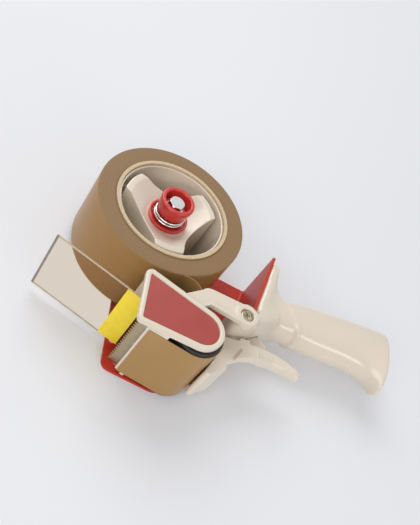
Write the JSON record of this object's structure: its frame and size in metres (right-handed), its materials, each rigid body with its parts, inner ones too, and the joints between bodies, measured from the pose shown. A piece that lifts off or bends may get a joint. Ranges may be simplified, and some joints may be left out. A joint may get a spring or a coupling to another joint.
{
  "type": "packing tape dispenser",
  "caption": "Hand-held packing tape gun with pistol grip, loaded tape roll on a braked hub, rubber roller, serrated cutter, clear wiper flap and finger brake lever.",
  "frame": {"origin": "on the roll's axle line, at the outer face of the side plate on which the part lies", "axes": "+X along the handle from the roller end to the butt, +Y from the roller towards the tape roll, +Z along the roll's axle away from the side plate"},
  "size_m": [0.2625, 0.1621, 0.065],
  "materials": {
    "red_paint": "gloss",
    "cream_plastic": "satin gloss",
    "steel": "plated",
    "nickel": "nickel plated",
    "red_panel": "satin",
    "blade_steel": "dull ground",
    "clear_plastic": "clear, slightly hazy plastic sheet",
    "yellow_film": "satin",
    "black_rubber": "matt",
    "spring_steel": "bright zinc",
    "fibre_disc": "matt",
    "card": "matt card",
    "brown_tape": "glossy film",
    "red_plastic": "gloss",
    "chrome": "bright"
  },
  "bodies": {
    "frame": {"side_plate": "red_paint", "handle": "cream_plastic", "handle_screws": "steel", "front_housing": "cream_plastic", "housing_screws": "steel", "cover_panel": "red_panel", "arm_screw": "nickel", "blade": "blade_steel", "blade_rivets": "steel", "flap": "clear_plastic", "flap_clamp": "steel", "flap_rivets": "steel", "marker_strip": "yellow_film", "roller_axle": "steel", "roller_washers": "steel", "trigger_pin": "steel", "trigger_spring": "spring_steel", "friction_disc": "fibre_disc", "hub_nut": "steel", "tape_web": "brown_tape", "tension_spring": "spring_steel"},
    "roll": {"hub": "cream_plastic", "tape_core": "card", "tape_winding": "brown_tape", "tension_cup": "red_plastic"},
    "roller": {"roller_core": "cream_plastic", "roller_sleeve": "black_rubber"},
    "lever": {"trigger": "cream_plastic", "brake_pad": "black_rubber"},
    "slider": {"bolt_washer": "chrome"},
    "knob": {"tension_knob": "red_plastic", "hub_bolt": "chrome"}
  },
  "joints": [
    {"name": "roll_spin", "type": "hinge", "parent": "frame", "child": "roll", "pos_m": [0, 0, 0.03], "axis": [0, 0, 1], "continuous": true},
    {"name": "roller_spin", "type": "hinge", "parent": "frame", "child": "roller", "pos_m": [0.0205, -0.092, 0.03], "axis": [0, 0, 1], "continuous": true},
    {"name": "trigger_squeeze", "type": "hinge", "parent": "frame", "child": "lever", "pos_m": [0.0476, -0.0902, 0.02], "axis": [0, 0, 1], "range_deg": [0, 6], "stiffness_Nm_per_rad": 0.8, "springref_deg": -8.59},
    {"name": "tension_travel", "type": "slide", "parent": "frame", "child": "slider", "axis": [0, 0, 1], "range_m": [-0.001, 0], "deforming": ["tension_spring"]},
    {"name": "tension_turn", "type": "hinge", "parent": "slider", "child": "knob", "pos_m": [0, 0, 0.06], "axis": [0, 0, 1], "range_deg": [-360, 0]}
  ],
  "couplings": [
    {"joint": "roller_spin", "follows": "roll_spin", "ratio": -3.1807},
    {"joint": "tension_turn", "follows": "tension_travel", "rad_per_m": 6283.2}
  ]
}
